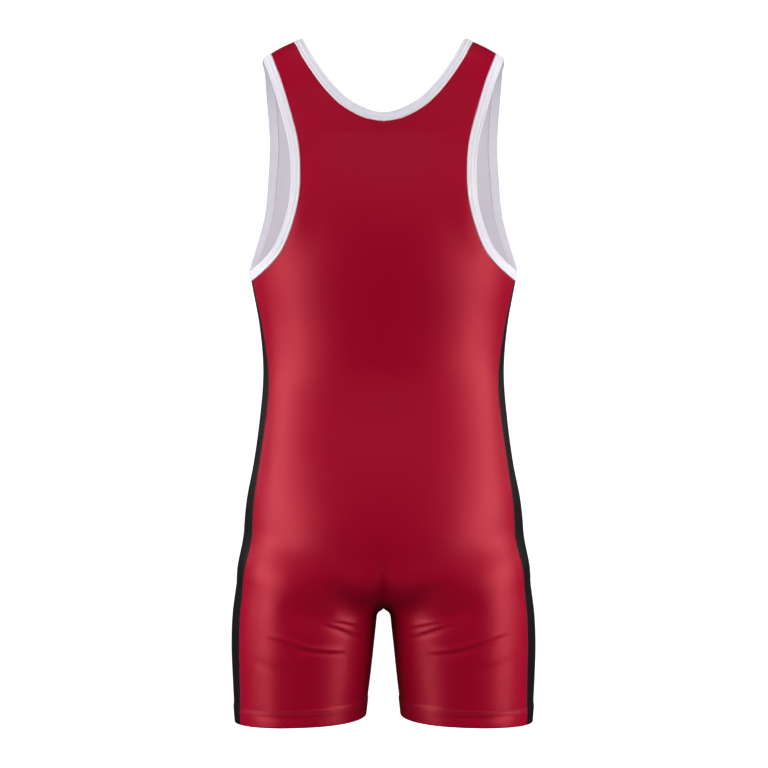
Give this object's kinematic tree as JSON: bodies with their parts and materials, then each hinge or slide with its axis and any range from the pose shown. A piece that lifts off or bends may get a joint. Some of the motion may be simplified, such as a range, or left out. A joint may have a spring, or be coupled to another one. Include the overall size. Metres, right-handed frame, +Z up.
{
  "type": "wrestling singlet",
  "caption": "Sleeveless wrestling singlet in its worn hollow form: scooped neck, bound armholes, shoulder straps, contrast side panels and short fitted legs.",
  "frame": {"origin": "top of the wearer's shoulders, on the centre plane, level with the neck ends of the two straps", "axes": "+Y the way the wearer faces, +X the wearer's right, +Z up"},
  "size_m": [0.3678, 0.2206, 0.8249],
  "materials": {
    "body_knit": "satin",
    "side_knit": "satin",
    "binding_knit": "satin"
  },
  "bodies": {
    "root": {"back_panel": "body_knit", "front_panel": "body_knit", "side_panel_right": "side_knit", "side_panel_left": "side_knit", "neck_binding": "binding_knit", "armhole_binding_right": "binding_knit", "armhole_binding_left": "binding_knit"}
  },
  "joints": []
}
